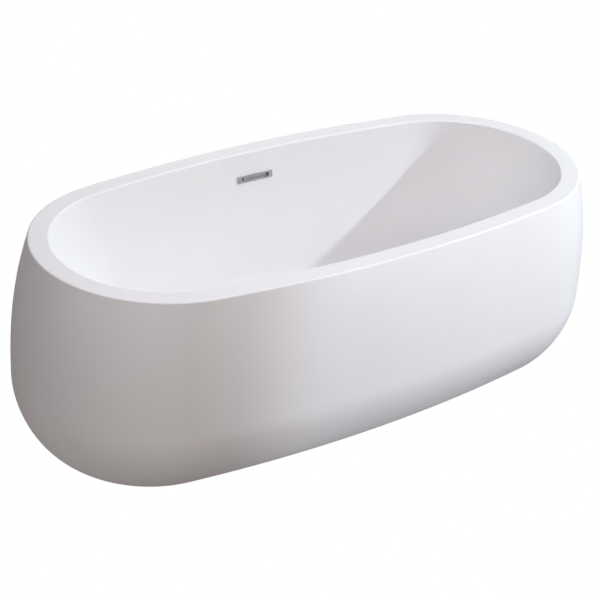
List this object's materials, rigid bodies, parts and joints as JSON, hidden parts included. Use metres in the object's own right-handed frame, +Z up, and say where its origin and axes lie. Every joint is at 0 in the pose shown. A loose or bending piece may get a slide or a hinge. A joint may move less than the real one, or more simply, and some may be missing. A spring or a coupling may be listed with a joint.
{
  "type": "freestanding bathtub",
  "caption": "Freestanding double-walled bathtub with a pebble-shaped outer wall, flat rim, slim overflow, press-open plug and levelling feet.",
  "frame": {"origin": "on the floor, under the middle of the tub", "axes": "+X along the tub, +Y towards the long side with the overflow, +Z up"},
  "size_m": [1.7, 0.768, 0.577],
  "materials": {
    "white_shell": "smooth satin white",
    "board": "raw particle board",
    "zinc_steel": "dull zinc plating",
    "foot_rubber": "matt black moulded",
    "seal_rubber": "matt black",
    "chrome_trim": "polished",
    "grey_plastic": "moulded grey"
  },
  "bodies": {
    "root": {"inner_basin": "white_shell", "outer_skirt": "white_shell", "floor_board": "board", "front_long_rail": "zinc_steel", "back_long_rail": "zinc_steel", "left_cross_rail": "zinc_steel", "left_inner_cross_rail": "zinc_steel", "right_inner_cross_rail": "zinc_steel", "right_cross_rail": "zinc_steel", "rail_bolt_1": "zinc_steel", "rail_bolt_2": "zinc_steel", "rail_bolt_3": "zinc_steel", "rail_bolt_4": "zinc_steel", "rail_bolt_5": "zinc_steel", "rail_bolt_6": "zinc_steel", "rail_bolt_7": "zinc_steel", "rail_bolt_8": "zinc_steel", "board_screw_1": "zinc_steel", "board_screw_2": "zinc_steel", "board_screw_3": "zinc_steel", "board_screw_4": "zinc_steel", "foot_nut_1": "zinc_steel", "foot_nut_2": "zinc_steel", "foot_nut_3": "zinc_steel", "foot_nut_4": "zinc_steel", "left_overflow_screw": "zinc_steel", "right_overflow_screw": "zinc_steel", "overflow_gasket": "seal_rubber", "waste_upper_gasket": "seal_rubber", "waste_lower_gasket": "seal_rubber", "overflow_frame": "chrome_trim", "overflow_plate": "chrome_trim", "waste_flange": "chrome_trim", "strainer_disc": "chrome_trim", "overflow_housing": "grey_plastic", "overflow_pipe": "grey_plastic", "upper_pipe_nut": "grey_plastic", "lower_pipe_nut": "grey_plastic", "waste_lock_nut": "grey_plastic", "waste_tee": "grey_plastic", "waste_outlet_nut": "grey_plastic", "waste_tailpiece": "grey_plastic"},
    "plug": {"plug_cap": "chrome_trim", "plug_seal": "seal_rubber", "plug_stem": "chrome_trim", "plug_spring": "zinc_steel"},
    "foot_1": {"foot_pad_1": "foot_rubber"},
    "stud_1": {"foot_stud_1": "zinc_steel"},
    "foot_2": {"foot_pad_2": "foot_rubber"},
    "stud_2": {"foot_stud_2": "zinc_steel"},
    "foot_3": {"foot_pad_3": "foot_rubber"},
    "stud_3": {"foot_stud_3": "zinc_steel"},
    "foot_4": {"foot_pad_4": "foot_rubber"},
    "stud_4": {"foot_stud_4": "zinc_steel"}
  },
  "joints": [
    {"name": "plug_press", "type": "slide", "parent": "root", "child": "plug", "axis": [0, 0, 1], "range_m": [-0.01, 0], "stiffness_N_per_m": 300, "springref_m": 0.02, "deforming": ["plug_spring"]},
    {"name": "foot_1_height", "type": "slide", "parent": "root", "child": "foot_1", "axis": [0, 0, 1], "range_m": [-0.015, 0.003]},
    {"name": "foot_1_turn", "type": "hinge", "parent": "foot_1", "child": "stud_1", "pos_m": [-0.46, -0.155, 0.05], "axis": [0, 0, 1], "range_deg": [-3090, 620]},
    {"name": "foot_2_height", "type": "slide", "parent": "root", "child": "foot_2", "axis": [0, 0, 1], "range_m": [-0.015, 0.003]},
    {"name": "foot_2_turn", "type": "hinge", "parent": "foot_2", "child": "stud_2", "pos_m": [-0.46, 0.155, 0.05], "axis": [0, 0, 1], "range_deg": [-3090, 620]},
    {"name": "foot_3_height", "type": "slide", "parent": "root", "child": "foot_3", "axis": [0, 0, 1], "range_m": [-0.015, 0.003]},
    {"name": "foot_3_turn", "type": "hinge", "parent": "foot_3", "child": "stud_3", "pos_m": [0.46, -0.155, 0.05], "axis": [0, 0, 1], "range_deg": [-3090, 620]},
    {"name": "foot_4_height", "type": "slide", "parent": "root", "child": "foot_4", "axis": [0, 0, 1], "range_m": [-0.015, 0.003]},
    {"name": "foot_4_turn", "type": "hinge", "parent": "foot_4", "child": "stud_4", "pos_m": [0.46, 0.155, 0.05], "axis": [0, 0, 1], "range_deg": [-3090, 620]}
  ],
  "couplings": [
    {"joint": "foot_1_turn", "follows": "foot_1_height", "rad_per_m": 3590.4},
    {"joint": "foot_2_turn", "follows": "foot_2_height", "rad_per_m": 3590.4},
    {"joint": "foot_3_turn", "follows": "foot_3_height", "rad_per_m": 3590.4},
    {"joint": "foot_4_turn", "follows": "foot_4_height", "rad_per_m": 3590.4}
  ]
}
